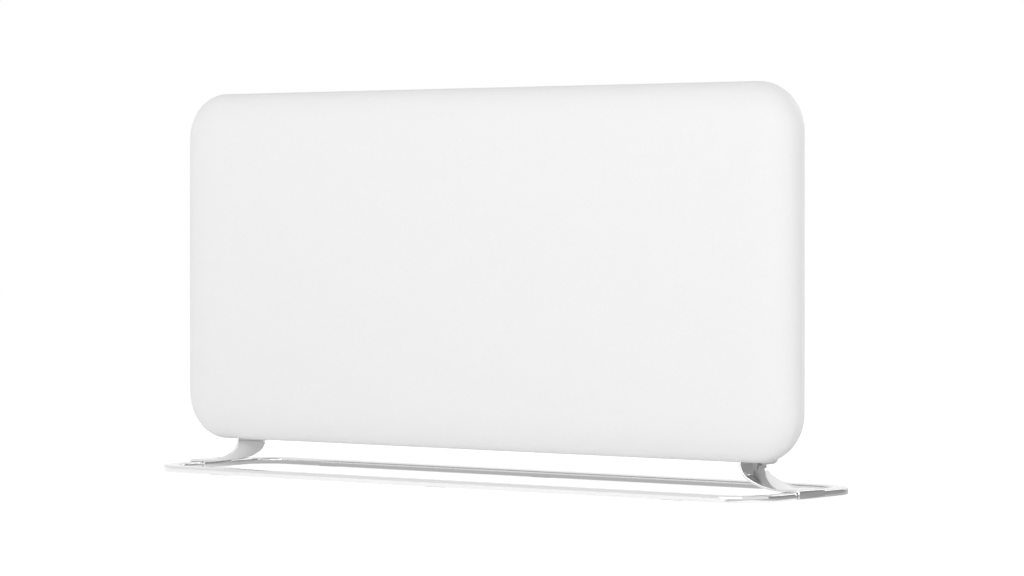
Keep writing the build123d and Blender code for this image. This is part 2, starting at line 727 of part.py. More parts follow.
with BuildPart() as element_insulators:
    for side in (-1, 1):
        end_x = duct_middle_x + side * element_length / 2
        with BuildSketch(Plane(origin=(end_x, element_y, element_z), x_dir=(0, 1, 0), z_dir=(side, 0, 0))):
            Rectangle(insulator_side, insulator_side)
            Circle(rod_radius, mode=Mode.SUBTRACT)
        extrude(amount=insulator_length)
element_insulators.part.label = "element_insulators"
export_step(element_insulators.part, "parts/element_insulators.step")

bracket_middle_y = (bracket_front_y + casing_inner_y) / 2

with BuildPart() as element_brackets:
    for side in (-1, 1):
        plate_x = duct_middle_x + side * (element_length / 2 + insulator_collar)
        with BuildSketch(Plane(origin=(plate_x, bracket_middle_y, element_z), x_dir=(0, 1, 0),
                               z_dir=(side, 0, 0))):
            Rectangle(casing_inner_y - bracket_front_y, bracket_height)
        extrude(amount=bracket_plate)
        with BuildSketch(Plane(origin=(plate_x, casing_inner_y, element_z), x_dir=(1, 0, 0),
                               z_dir=(0, -1, 0))):
            with Locations((side * bracket_foot / 2, 0)):
                Rectangle(bracket_foot, bracket_height)
        extrude(amount=bracket_plate)
        with BuildSketch(Plane(origin=(plate_x, element_y, element_z), x_dir=(0, 1, 0), z_dir=(side, 0, 0))):
            Rectangle(insulator_side, insulator_side)
        extrude(amount=bracket_plate, mode=Mode.SUBTRACT)
element_brackets.part.label = "element_brackets"
export_step(element_brackets.part, "parts/element_brackets.step")

# ---------------------------------------------------------------- electrical side
with BuildPart() as cable_gland:
    with BuildSketch(Plane.XY.offset(casing_bottom)):
        with Locations((gland_x, gland_y)):
            Rectangle(gland_side + 2 * gland_lip, gland_side + 2 * gland_lip)
    extrude(amount=-gland_collar_height)
    with BuildSketch(Plane.XY.offset(casing_bottom)):
        with Locations((gland_x, gland_y)):
            Rectangle(gland_side, gland_side)
    extrude(amount=gland_neck)
    with BuildSketch(Plane.XY.offset(casing_bottom - gland_collar_height)):
        with Locations((gland_x, gland_y)):
            Circle(gland_bore)
    extrude(amount=gland_collar_height + gland_neck, mode=Mode.SUBTRACT)
cable_gland.part.label = "cable_gland"
export_step(cable_gland.part, "parts/cable_gland.step")

terminal_z = casing_bottom + terminal_rise
terminal_length, terminal_depth, terminal_height = terminal_size

with BuildPart() as terminal_block:
    with BuildSketch(Plane(origin=(gland_x, casing_inner_y, terminal_z), x_dir=(1, 0, 0), z_dir=(0, -1, 0))):
        Rectangle(terminal_length, terminal_height)
    extrude(amount=terminal_depth)
    with BuildSketch(Plane(origin=(gland_x, casing_inner_y - terminal_depth, terminal_z), x_dir=(1, 0, 0),
                           z_dir=(0, -1, 0))):
        with GridLocations(terminal_length / 3, 0, 3, 1):
            Rectangle(terminal_height / 3, terminal_height / 2)
    extrude(amount=-terminal_depth * 0.6, mode=Mode.SUBTRACT)
terminal_block.part.label = "terminal_block"
export_step(terminal_block.part, "parts/terminal_block.step")

with BuildPart() as thermal_cutout:
    with BuildSketch(Plane(origin=(duct_right_x, element_y, casing_bottom + cutout_rise), x_dir=(0, 1, 0),
                           z_dir=(1, 0, 0))):
        Rectangle(3 * cutout_radius, cutout_radius)
    extrude(amount=bracket_plate)
    with BuildSketch(Plane(origin=(duct_right_x, element_y, casing_bottom + cutout_rise), x_dir=(0, 1, 0),
                           z_dir=(1, 0, 0))):
        Circle(cutout_radius)
    extrude(amount=cutout_height)
thermal_cutout.part.label = "thermal_cutout"
export_step(thermal_cutout.part, "parts/thermal_cutout.step")

# The tip-over switch: a weight on an arm that swings between two cheeks.
tilt_z = casing_bottom + tilt_rise
cheek_front_y = tilt_pivot_y - tilt_hub_radius - 4.0
hub_width = tilt_width - 2 * tilt_cheek - 2 * tilt_gap
tilt_plane = Plane(origin=(tilt_x, tilt_pivot_y, tilt_z), x_dir=(0, 1, 0), z_dir=(1, 0, 0))

with BuildPart() as tilt_switch_housing:
    with BuildSketch(Plane(origin=(tilt_x, casing_inner_y, tilt_z - tilt_arm / 2), x_dir=(1, 0, 0),
                           z_dir=(0, -1, 0))):
        Rectangle(tilt_width, tilt_height)
    extrude(amount=tilt_base)
    with BuildSketch(Plane(origin=(tilt_x, casing_inner_y, tilt_z), x_dir=(1, 0, 0), z_dir=(0, -1, 0))):
        for cheek_side in (1, -1):
            with Locations((cheek_side * (tilt_width - tilt_cheek) / 2, 0)):
                Rectangle(tilt_cheek, 3 * tilt_hub_radius)
    extrude(amount=casing_inner_y - cheek_front_y)
    with BuildSketch(tilt_plane):
        Circle(tilt_pin_radius + running_gap)
    extrude(amount=tilt_width / 2, both=True, mode=Mode.SUBTRACT)
tilt_switch_housing.part.label = "tilt_switch_housing"
export_step(tilt_switch_housing.part, "parts/tilt_switch_housing.step")

with BuildPart() as tilt_switch_pendulum:
    with BuildSketch(tilt_plane):
        Rectangle(2 * tilt_hub_radius, 2 * tilt_hub_radius)
        with Locations((0, -tilt_arm / 2)):
            Rectangle(tilt_hub_radius, tilt_arm)
        with Locations((0, -tilt_arm)):
            Rectangle(2 * tilt_weight_radius, 2 * tilt_weight_radius)
    extrude(amount=hub_width / 2, both=True)
    with BuildSketch(tilt_plane):
        Circle(tilt_pin_radius)
    extrude(amount=tilt_width / 2 - tilt_gap / 2, both=True)
tilt_switch_pendulum.part.label = "tilt_switch_pendulum"
export_step(tilt_switch_pendulum.part, "parts/tilt_switch_pendulum.step")
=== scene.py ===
import json
from math import atan2, cos, pi, radians, sin

import bmesh
import bpy
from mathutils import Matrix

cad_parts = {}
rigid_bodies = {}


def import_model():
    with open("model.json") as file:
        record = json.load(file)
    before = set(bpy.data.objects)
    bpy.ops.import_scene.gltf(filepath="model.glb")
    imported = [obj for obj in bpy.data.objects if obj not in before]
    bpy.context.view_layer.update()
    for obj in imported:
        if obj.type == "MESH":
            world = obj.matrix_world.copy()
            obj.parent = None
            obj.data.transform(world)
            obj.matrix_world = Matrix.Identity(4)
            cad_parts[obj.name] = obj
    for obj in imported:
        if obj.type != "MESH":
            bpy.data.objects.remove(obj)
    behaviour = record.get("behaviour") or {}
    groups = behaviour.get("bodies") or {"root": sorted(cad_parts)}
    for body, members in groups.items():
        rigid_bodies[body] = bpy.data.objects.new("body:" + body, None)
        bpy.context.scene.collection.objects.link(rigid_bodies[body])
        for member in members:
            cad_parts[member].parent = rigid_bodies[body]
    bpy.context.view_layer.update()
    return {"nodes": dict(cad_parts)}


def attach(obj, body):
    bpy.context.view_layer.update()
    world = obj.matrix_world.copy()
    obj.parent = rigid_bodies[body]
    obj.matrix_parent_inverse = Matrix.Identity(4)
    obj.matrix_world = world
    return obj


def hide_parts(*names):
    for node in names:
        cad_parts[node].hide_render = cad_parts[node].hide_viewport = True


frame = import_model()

mm = 0.001

# ---------------------------------------------------------------- front shell
# The front is one steel sheet pressed to a soft pillow: round corners, an edge that rolls back to
# the widest line and then inwards to a flange, to which the casing is screwed. Powder coated white.
panel_half_width = 446.0
panel_bottom = 38.5
panel_top = 460.0
rim_back = -5.0
back_roll = 18.0
roll_steps = 12
edge_depth = 22.5
edge_inset = 56.0
edge_roundness = 0.554
corner_radius = 56.5
shell_flange = 32.0
shell_sheet = 0.9
slit_low = (365.8, -29.8)
slit_high = (370.2, 22.8)
slit_top = 65.3
slit_overcut = 5.0


def linear(sheet_colour):
    """A screen colour written as six hex digits, as the renderer's linear colour."""
    shades = [int(sheet_colour[start:start + 2], 16) / 255 for start in (0, 2, 4)]
    evened = [shade / 12.92 if shade <= 0.04045 else ((shade + 0.055) / 1.055) ** 2.4
              for shade in shades]
    return evened + [1.0]


def add_node(tree, kind, values=None, links=None, **settings):
    """One node of a material, with its settings, its values and its links from other nodes."""
    node = tree.nodes.new(kind)
    for name, setting in settings.items():
        setattr(node, name, setting)
    for socket, value in (values or {}).items():
        node.inputs[socket].default_value = value
    for socket, (source, output) in (links or {}).items():
        tree.links.new(source.outputs[output], node.inputs[socket])
    return node


def surface(name, shades, roughness, grain_mm, relief_mm, stretch=(1.0, 1.0, 1.0), patch_mm=60.0,
            **sockets):
    """A finish whose shade, gloss and relief follow a grain of a real size.

    shades are two sheet colours and roughness is two values: the grain runs between them. A slower
    patchiness of patch_mm moves the gloss, as on any handled or coated surface.
    """
    material = bpy.data.materials.new(name)
    material.use_nodes = True
    tree = material.node_tree
    shader = tree.nodes["Principled BSDF"]
    for socket, value in sockets.items():
        shader.inputs[socket.replace("_", " ")].default_value = value
    place = add_node(tree, "ShaderNodeTexCoord")
    mapped = add_node(tree, "ShaderNodeMapping", {"Scale": stretch}, {"Vector": (place, "Object")})
    grain = add_node(tree, "ShaderNodeTexNoise", {"Scale": 1.0 / (grain_mm * mm), "Detail": 3.0},
                     {"Vector": (mapped, "Vector")})
    patches = add_node(tree, "ShaderNodeTexNoise", {"Scale": 1.0 / (patch_mm * mm), "Detail": 2.0},
                       {"Vector": (place, "Object")})
    spread = add_node(tree, "ShaderNodeMapRange", {"From Min": 0.3, "From Max": 0.7},
                      {"Value": (grain, "Fac")})
    shade = add_node(tree, "ShaderNodeMix", {6: linear(shades[0]), 7: linear(shades[1])},
                     {0: (spread, "Result")}, data_type="RGBA")
    tree.links.new(shade.outputs[2], shader.inputs["Base Color"])
    blend = add_node(tree, "ShaderNodeMath", {1: 0.5}, {0: (grain, "Fac")}, operation="MULTIPLY")
    both = add_node(tree, "ShaderNodeMath", {1: 0.5}, {0: (patches, "Fac"), 2: (blend, "Value")},
                    operation="MULTIPLY_ADD")
    gloss = add_node(tree, "ShaderNodeMapRange",
                     {"From Min": 0.35, "From Max": 0.65, "To Min": roughness[0], "To Max": roughness[1]},
                     {"Value": (both, "Value")})
    tree.links.new(gloss.outputs["Result"], shader.inputs["Roughness"])
    relief = add_node(tree, "ShaderNodeBump", {"Strength": 1.0, "Distance": relief_mm * mm},
                      {"Height": (grain, "Fac")})
    tree.links.new(relief.outputs["Normal"], shader.inputs["Normal"])
    return material


def add_block(name, low, high):
    """A block between two corners in millimetres, to be shaped further."""
    bpy.ops.object.select_all(action="DESELECT")
    bpy.ops.mesh.primitive_cube_add(size=1.0, location=[(a + b) / 2 * mm for a, b in zip(low, high)],
                                    scale=[(b - a) * mm for a, b in zip(low, high)])
    piece = bpy.context.object
    piece.name = name
    bpy.ops.object.transform_apply(location=True, rotation=True, scale=True)
    return piece


def take(piece, kind, test):
    """In edit mode, selects the edges or faces of a piece that pass a test, and no others."""
    bpy.ops.mesh.select_mode(type=kind)
    bpy.ops.mesh.select_all(action="DESELECT")
    shape = bmesh.from_edit_mesh(piece.data)
    for element in {"EDGE": shape.edges, "FACE": shape.faces}[kind]:
        if test(element):
            element.select_set(True)
    shape.select_flush_mode()
    bmesh.update_edit_mesh(piece.data)


def at(axis, place):
    """A test: the whole edge or face lies at that place, in millimetres, along an axis."""
    return lambda element: all(abs(vert.co[axis] - place * mm) < 1e-5 for vert in element.verts)


def runs_along(axis):
    """A test: the edge runs along an axis."""
    return lambda edge: abs((edge.verts[1].co - edge.verts[0].co).normalized()[axis]) > 0.9999


def work_on(piece):
    """Makes a piece the only selected one."""
    bpy.ops.object.select_all(action="DESELECT")
    piece.select_set(True)
    bpy.context.view_layer.objects.active = piece


def apply_modifier(piece, kind, **settings):
    """Adds a modifier with its settings and applies it."""
    work_on(piece)
    modifier = piece.modifiers.new(kind.lower(), kind)
    for name, setting in settings.items():
        setattr(modifier, name, setting)
    bpy.ops.object.modifier_apply(modifier=modifier.name)


def cut(piece, tool):
    """Cuts a tool's shape out of a piece and throws the tool away."""
    apply_modifier(piece, "BOOLEAN", operation="DIFFERENCE", solver="EXACT", object=tool)
    bpy.data.objects.remove(tool)


def dress(piece, material, nodes=(), body="heater", smooth=35.0):
    """Shades a finished piece, gives it its finish, hangs it on the body that carries it and hides the
    nodes it stands for.
    """
    work_on(piece)
    bpy.ops.object.shade_smooth_by_angle(angle=radians(smooth))
    piece.data.name = piece.name
    piece.data.materials.clear()
    piece.data.materials.append(material)
    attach(piece, body)
    if nodes:
        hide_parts(*nodes)


# Polyester powder coat, baked on: matt white with a faint orange peel. The real grain of about
# 0.3 mm doesn't show from a step away, so it is drawn 1.5 mm coarse and very shallow.
powder_coat = surface("powder_coat_white", ("EDEDED", "F1F1F1"), (0.44, 0.52), 1.5, 0.006, patch_mm=90.0)

depth_ratio = edge_depth / edge_inset
widest = rim_back - back_roll
shell = add_block("shell_pressing", (-panel_half_width, widest - edge_inset, panel_bottom),
                  (panel_half_width, widest, panel_top))
bpy.ops.object.mode_set(mode="EDIT")
take(shell, "EDGE", runs_along(1))
bpy.ops.mesh.bevel(offset=corner_radius * mm, segments=24, profile=0.5, affect="EDGES",
                   clamp_overlap=False)
take(shell, "EDGE", at(1, widest - edge_inset))
bpy.ops.mesh.bevel(offset=edge_inset * mm, segments=32, profile=edge_roundness, affect="EDGES",
                   clamp_overlap=False)
bpy.ops.mesh.select_all(action="SELECT")
bpy.ops.mesh.remove_doubles(threshold=0.001 * mm)
bpy.ops.transform.resize(value=(1.0, depth_ratio, 1.0), center_override=(0.0, widest * mm, 0.0))
take(shell, "FACE", at(1, widest))
for step in range(roll_steps):
    start, end = (step * pi / 2 / roll_steps, (step + 1) * pi / 2 / roll_steps)
    bpy.ops.mesh.inset(thickness=back_roll * (cos(start) - cos(end)) * mm,
                       depth=back_roll * (sin(end) - sin(start)) * mm)
bpy.ops.mesh.inset(thickness=(shell_flange - back_roll) * mm, depth=0.0)
bpy.ops.mesh.delete(type="FACE")
bpy.ops.object.mode_set(mode="OBJECT")
apply_modifier(shell, "SOLIDIFY", thickness=shell_sheet * mm, offset=-1.0, use_even_offset=True)
for side in (1, -1):
    edges_x = sorted((side * slit_low[0], side * slit_high[0]))
    cut(shell, add_block("slit", (edges_x[0], slit_low[1], panel_bottom - slit_overcut),
                         (edges_x[1], slit_high[1], slit_top)))
dress(shell, powder_coat, ["front_shell"])
apply_modifier(shell, "WEIGHTED_NORMAL", keep_sharp=True, weight=80)

# ---------------------------------------------------------------- rear casing
# A tray folded from thinner sheet, with windows for the grilles and the controls and two pressed
# beads, closes the back. Its flange lies on the shell's flange. It is powder coated like the shell.
nearly_flat = 0.4
sharp_edge = 40.0


def eased_copy(node, name, edge_mm):
    """A copy of a construction solid as one clean mesh, with its sharp edges eased."""
    mesh = frame["nodes"][node].data.copy()
    piece = bpy.data.objects.new(name, mesh)
    bpy.context.scene.collection.objects.link(piece)
    work_on(piece)
    bpy.ops.object.mode_set(mode="EDIT")
    bpy.ops.mesh.select_all(action="SELECT")
    bpy.ops.mesh.remove_doubles(threshold=0.005 * mm)
    bpy.ops.mesh.dissolve_limited(angle_limit=radians(nearly_flat))
    bpy.ops.object.mode_set(mode="OBJECT")
    if "custom_normal" in mesh.attributes:
        mesh.attributes.remove(mesh.attributes["custom_normal"])
    apply_modifier(piece, "BEVEL", width=edge_mm * mm, segments=2, limit_method="ANGLE",
                   angle_limit=radians(sharp_edge), use_clamp_overlap=True)
    return piece


casing = eased_copy("rear_casing", "casing_tray", 0.25)
# The same kind of powder coat, a shade greyer and a little rougher than on the shell.
casing_coat = surface("powder_coat_casing", ("E9E9E8", "EEEEED"), (0.46, 0.54), 1.5, 0.008, patch_mm=90.0)
dress(casing, casing_coat, ["rear_casing"])

# ---------------------------------------------------------------- casing screws
# Zinc-plated pan-head screws with a cross recess hold the casing's flange to the shell's flange.
screw_inset = 24.0
screw_side_inset = 31.0
flange_face = -4.2
screw_columns = (-320.0, -110.0, 110.0, 320.0)
screw_rows = (150.0, 348.0)
head_radius = 3.6
head_height = 2.0
head_round = 1.1
recess_length = 3.4
recess_width = 0.8
recess_depth = 1.2
recess_overcut = 1.0


def add_round(name, radius, depth, place, sides=32, turn=(0.0, 0.0, 0.0)):
    """A cylinder in millimetres, centred on a place and turned, to be shaped further."""
    bpy.ops.object.select_all(action="DESELECT")
    bpy.ops.mesh.primitive_cylinder_add(vertices=sides, radius=radius * mm, depth=depth * mm,
                                        location=[value * mm for value in place], rotation=turn)
    piece = bpy.context.object
    piece.name = name
    bpy.ops.object.transform_apply(location=True, rotation=True, scale=True)
    return piece


def joined(name, pieces):
    """Several like pieces as one."""
    bpy.ops.object.select_all(action="DESELECT")
    for piece in pieces:
        piece.select_set(True)
    bpy.context.view_layer.objects.active = pieces[0]
    bpy.ops.object.join()
    pieces[0].name = name
    return pieces[0]


def copied(piece, moves):
    """A piece and its copies, each moved by so many millimetres."""
    copies = [piece]
    for move in moves:
        twin = piece.copy()
        twin.data = piece.data.copy()
        bpy.context.scene.collection.objects.link(twin)
        work_on(twin)
        bpy.ops.transform.translate(value=[value * mm for value in move])
        bpy.ops.object.transform_apply(location=True, rotation=True, scale=True)
        copies.append(twin)
    return copies


def mirrored(piece, name):
    """The left-hand twin of a right-hand piece."""
    twin = piece.copy()
    twin.data = piece.data.copy()
    bpy.context.scene.collection.objects.link(twin)
    twin.name = name
    work_on(twin)
    twin.scale = (-1.0, 1.0, 1.0)
    bpy.ops.object.transform_apply(location=True, rotation=True, scale=True)
    bpy.ops.object.mode_set(mode="EDIT")
    bpy.ops.mesh.select_all(action="SELECT")
    bpy.ops.mesh.remove_doubles(threshold=0.001 * mm)
    bpy.ops.mesh.normals_make_consistent(inside=False)
    bpy.ops.object.mode_set(mode="OBJECT")
    return twin


# Bright zinc plating: a light grey metal with a cloudy, slightly uneven sheen.
zinc_plate = surface("zinc_plated_steel", ("B9BABC", "CBCCCE"), (0.28, 0.42), 0.8, 0.004, patch_mm=5.0,
                     Metallic=1.0)

screw = add_round("casing_screws", head_radius, head_height, (0.0, flange_face + head_height / 2, 0.0),
                  turn=(-pi / 2, 0.0, 0.0))
bpy.ops.object.mode_set(mode="EDIT")
take(screw, "EDGE", at(1, flange_face + head_height))
bpy.ops.mesh.bevel(offset=head_round * mm, segments=4, affect="EDGES")
bpy.ops.object.mode_set(mode="OBJECT")
for wide, tall in ((recess_length, recess_width), (recess_width, recess_length)):
    cut(screw, add_block("recess", (-wide / 2, flange_face + head_height - recess_depth, -tall / 2),
                         (wide / 2, flange_face + head_height + recess_overcut, tall / 2)))
side_x = panel_half_width - screw_side_inset
high_z = panel_top - screw_inset
low_z = panel_bottom + screw_inset
screw_places = [(x, 0.0, z) for x in screw_columns for z in (low_z, high_z)]
screw_places += [(x, 0.0, z) for x in (-side_x, side_x) for z in screw_rows]
screws = copied(screw, screw_places)
bpy.data.objects.remove(screws.pop(0))
dress(joined("casing_screws", screws), zinc_plate)

# ---------------------------------------------------------------- grilles
# Strips of slotted sheet, enamelled dark grey, sit behind the casing's windows: warm air leaves at
# the top and cold air enters at the bottom.

# Stoved charcoal enamel on punched steel: nearly black, half matt, with softened slot edges.
grille_enamel = surface("charcoal_enamel", ("2C2D2F", "343537"), (0.42, 0.52), 1.2, 0.006)
for grille in ("outlet_grille", "inlet_grille"):
    strip = eased_copy(grille, grille.replace("grille", "slots"), 0.15)
    dress(strip, grille_enamel, [grille])

# ---------------------------------------------------------------- floor loop
# A flat bar of stainless steel, bent to a rounded rectangle, lies flat on the floor and keeps the
# heater upright. Its upper edges are well rounded, it is polished and it stands on rubber pads.
loop_half = (443.75, 110.75)
loop_low = 0.5
loop_high = 8.1
loop_corner = 50.0
bar_width = 19.0
bar_upper_round = 2.4
bar_lower_round = 0.8

# Polished stainless: a bright neutral metal that mirrors the room, a little softened by fine
# polishing lines, which are drawn coarser than they are so that they just show close up.
polished_bar = surface("polished_stainless_bar", ("DDDDDD", "E2E2E2"), (0.07, 0.11), 2.0, 0.0002,
                       patch_mm=30.0, Metallic=1.0)
loop = add_block("stand_loop", (-loop_half[0], -loop_half[1], loop_low),
                 (loop_half[0], loop_half[1], loop_high))
bpy.ops.object.mode_set(mode="EDIT")
take(loop, "EDGE", runs_along(2))
bpy.ops.mesh.bevel(offset=loop_corner * mm, segments=28, affect="EDGES", clamp_overlap=False)
take(loop, "FACE", lambda face: abs(face.normal.z) > 0.99)
bpy.ops.mesh.inset(thickness=bar_width * mm, depth=0.0)
bpy.ops.mesh.delete(type="FACE")
take(loop, "EDGE", lambda edge: edge.is_boundary)
bpy.ops.mesh.bridge_edge_loops()
take(loop, "EDGE", lambda edge: at(2, loop_high)(edge) and edge.calc_face_angle(0.0) > radians(60))
bpy.ops.mesh.bevel(offset=bar_upper_round * mm, segments=5, profile=0.5, affect="EDGES",
                   clamp_overlap=False)
take(loop, "EDGE", lambda edge: at(2, loop_low)(edge) and edge.calc_face_angle(0.0) > radians(60))
bpy.ops.mesh.bevel(offset=bar_lower_round * mm, segments=2, affect="EDGES", clamp_overlap=False)
bpy.ops.object.mode_set(mode="OBJECT")
dress(loop, polished_bar, ["floor_loop"])

# Six pads of black rubber sheet lie under the long rails: matt and slightly dusty.
pad_length = 30.0
pad_width = 11.0
pad_corner = 3.0
pad_column = 330.0
pad_row = 101.25
pad_rubber = surface("rubber_black", ("1B1B1B", "242424"), (0.75, 0.9), 0.8, 0.02)
pad = add_block("rubber_pads", (-pad_length / 2, pad_row - pad_width / 2, 0.0),
                (pad_length / 2, pad_row + pad_width / 2, loop_low))
bpy.ops.object.mode_set(mode="EDIT")
take(pad, "EDGE", runs_along(2))
bpy.ops.mesh.bevel(offset=pad_corner * mm, segments=6, affect="EDGES", clamp_overlap=False)
bpy.ops.object.mode_set(mode="OBJECT")
pad_moves = [(x, y, 0.0) for x in (-pad_column, pad_column) for y in (0.0, -2 * pad_row)]
pads = copied(pad, pad_moves + [(0.0, -2 * pad_row, 0.0)])
dress(joined("rubber_pads", pads), pad_rubber, ["floor_pads"])

# ---------------------------------------------------------------- legs
# Two strips of stainless steel hang from the panel, sweep outwards and clasp the loop's end rails.
# They are cut from rolled strip, bent over two radii and polished.
strip_inner = 366.6
strip_thickness = 2.8
strip_front_y = -29.0
strip_back_y = 22.0
strip_top = 64.5
knee_radius = 20.0
knee_turn = 60.0
sweep_radius = 90.0
shoulder = 3.0
clasp_gap = 0.1
clasp_end = 1.0
knee_sine = sin(radians(knee_turn))
knee_height = loop_high + sweep_radius * (1 - knee_sine) + knee_radius * knee_sine
knee_middle = (strip_inner + knee_radius, knee_height)
sweep_middle = (knee_middle[0] + (sweep_radius - knee_radius) * cos(radians(knee_turn)),
                loop_high + sweep_radius)
clasp_outer = loop_half[0] + clasp_gap + strip_thickness

# Polished strip: the same bright metal as the bar, with faint rolling lines along the strip. They
# are about 0.1 mm apart and are drawn 0.5 mm apart.
polished_strip = surface("polished_stainless_strip", ("DADADA", "E1E1E1"), (0.07, 0.12), 0.5, 0.0002,
                         stretch=(0.02, 1.0, 0.02), patch_mm=40.0, Metallic=1.0)

leg = add_block("leg_strip_right", (strip_inner, strip_front_y, knee_height),
                (strip_inner + strip_thickness, strip_back_y, strip_top))
bpy.ops.object.mode_set(mode="EDIT")
take(leg, "FACE", at(2, knee_height))
bpy.ops.mesh.spin(steps=14, angle=radians(knee_turn), axis=(0.0, 1.0, 0.0),
                  center=(knee_middle[0] * mm, 0.0, knee_middle[1] * mm))
bpy.ops.mesh.spin(steps=14, angle=radians(90.0 - knee_turn), axis=(0.0, 1.0, 0.0),
                  center=(sweep_middle[0] * mm, 0.0, sweep_middle[1] * mm))
bpy.ops.mesh.extrude_region_move(TRANSFORM_OT_translate={
    "value": ((clasp_outer - shoulder - sweep_middle[0]) * mm, 0.0, 0.0)})
bpy.ops.mesh.spin(steps=8, angle=radians(-90.0), axis=(0.0, 1.0, 0.0),
                  center=((clasp_outer - shoulder) * mm, 0.0,
                          (loop_high + strip_thickness - shoulder) * mm))
bpy.ops.mesh.extrude_region_move(TRANSFORM_OT_translate={
    "value": (0.0, 0.0, (clasp_end - loop_high - strip_thickness + shoulder) * mm)})
bpy.ops.mesh.select_all(action="SELECT")
bpy.ops.mesh.remove_doubles(threshold=0.001 * mm)
bpy.ops.mesh.normals_make_consistent(inside=False)
bpy.ops.object.mode_set(mode="OBJECT")
apply_modifier(leg, "BEVEL", width=0.45 * mm, segments=3, limit_method="ANGLE", angle_limit=radians(50))
other_leg = mirrored(leg, "leg_strip_left")
dress(leg, polished_strip, ["leg_right"], smooth=30.0)
dress(other_leg, polished_strip, ["leg_left"], smooth=30.0)

# The inner jaw of each clasp is a short plate under the strip, against the inside of the rail.
jaw_inner = 422.25
jaw_outer = 424.65
jaw = add_block("clasp_plates", (jaw_inner, strip_front_y, clasp_end), (jaw_outer, strip_back_y, loop_high))
apply_modifier(jaw, "BEVEL", width=0.4 * mm, segments=3, limit_method="ANGLE", angle_limit=radians(50))
dress(joined("clasp_plates", [jaw, mirrored(jaw, "clasp_plate_left")]), polished_strip,
      ["clasp_jaws"])

# ---------------------------------------------------------------- leg blocks and brackets
# A moulded nylon block beside each strip holds it under the casing. One corner of the block shows
# below the panel. A folded bracket of galvanised steel carries the block.
block_low = (369.4, 10.0, 34.0)
block_high = (380.0, 31.5, 67.0)
block_corner = 9.0
block_relief = 4.0

# Injection-moulded nylon: light grey, matt, with a fine spark-eroded grain.
block_nylon = surface("moulded_nylon_grey", ("D6D6D6", "DEDEDE"), (0.5, 0.6), 0.9, 0.01)
block = add_block("nylon_blocks", block_low, block_high)
bpy.ops.object.mode_set(mode="EDIT")
for place_x, radius in ((block_high[0], block_corner), (block_low[0], block_relief)):
    take(block, "EDGE", lambda edge: runs_along(1)(edge) and at(0, place_x)(edge)
         and at(2, block_low[2])(edge))
    bpy.ops.mesh.bevel(offset=radius * mm, segments=12, affect="EDGES", clamp_overlap=False)
bpy.ops.object.mode_set(mode="OBJECT")
apply_modifier(block, "BEVEL", width=0.8 * mm, segments=3, limit_method="ANGLE", angle_limit=radians(50))
dress(joined("nylon_blocks", [block, mirrored(block, "nylon_block_left")]), block_nylon,
      ["leg_blocks"])

# Hot-dip galvanised sheet: light grey with a frosty spangle of about 8 mm. Each bracket ends 2 mm
# inside its block's outer side and 8 mm above its foot, so only the block shows below the panel.
bracket_setback = 2.0
bracket_foot = 42.0
shear_low = (block_low[0] - 5.0, 0.0, 30.0)
shear_high = (block_high[0] + 20.0, 40.0, 70.0)
galvanised = surface("galvanised_sheet", ("A9ABAD", "C0C2C4"), (0.38, 0.52), 8.0, 0.002, patch_mm=3.0,
                     Metallic=1.0)
angles = eased_copy("leg_brackets", "leg_angles", 0.3)
for side in (1, -1):
    for start_x, top in ((block_high[0] - bracket_setback, shear_high[2]), (shear_low[0], bracket_foot)):
        ends_x = sorted((side * start_x, side * shear_high[0]))
        cut(angles, add_block("sheared_off", (ends_x[0], shear_low[1], shear_low[2]),
                              (ends_x[1], shear_high[1], top)))
dress(angles, galvanised, ["leg_brackets"])

# A slotted screw in the front of each block clamps the strip. Its head shows under the panel.
clamp = (374.6, 10.0, 37.5)
clamp_radius = 4.3
clamp_height = 2.0
clamp_round = 1.2
slot_half_length = 6.0
slot_half_width = 0.6
slot_depth = 0.4
slot_overcut = 0.8
slot_turn = -40.0
clamp_screw = add_round("clamp_screw_heads", clamp_radius, clamp_height,
                        (clamp[0], clamp[1] - clamp_height / 2, clamp[2]),
                        sides=40, turn=(pi / 2, 0.0, 0.0))
bpy.ops.object.mode_set(mode="EDIT")
take(clamp_screw, "EDGE", at(1, clamp[1] - clamp_height))
bpy.ops.mesh.bevel(offset=clamp_round * mm, segments=5, affect="EDGES")
bpy.ops.object.mode_set(mode="OBJECT")
slot_tool = add_block("slot", (-slot_half_length, -slot_overcut, -slot_half_width),
                      (slot_half_length, slot_depth, slot_half_width))
slot_tool.rotation_euler = (0.0, radians(slot_turn), 0.0)
slot_tool.location = [clamp[0] * mm, (clamp[1] - clamp_height) * mm, clamp[2] * mm]
bpy.context.view_layer.update()
cut(clamp_screw, slot_tool)
dress(joined("clamp_screw_heads", [clamp_screw, mirrored(clamp_screw, "clamp_screw_left")]), zinc_plate,
      ["clamp_screws"])

# A hexagon bolt with a washer on the inner face of each strip runs through it into the block.
bolt = (strip_inner, 19.0, 51.0)
bolt_flats = 10.0
bolt_head = 4.0
washer_radius = 6.2
washer_height = 1.2
hexagon = add_round("leg_bolts", bolt_flats / 2 / cos(pi / 6), bolt_head,
                    (bolt[0] - washer_height - bolt_head / 2, bolt[1], bolt[2]),
                    sides=6, turn=(0.0, pi / 2, 0.0))
washer = add_round("washer", washer_radius, washer_height, (bolt[0] - washer_height / 2, bolt[1], bolt[2]),
                   sides=40, turn=(0.0, pi / 2, 0.0))
bolts = [hexagon, washer]
for part in bolts:
    apply_modifier(part, "BEVEL", width=0.3 * mm, segments=2, limit_method="ANGLE", angle_limit=radians(50))
bolts += [mirrored(hexagon, "hexagon_left"), mirrored(washer, "washer_left")]
dress(joined("leg_bolts", bolts), zinc_plate)

# ---------------------------------------------------------------- control tray
# A tray of charcoal ABS is let into the casing's back. The knob, the rockers and the lamp stand on
# its floor, below the level of its lip, so that nothing sticks out of the back.

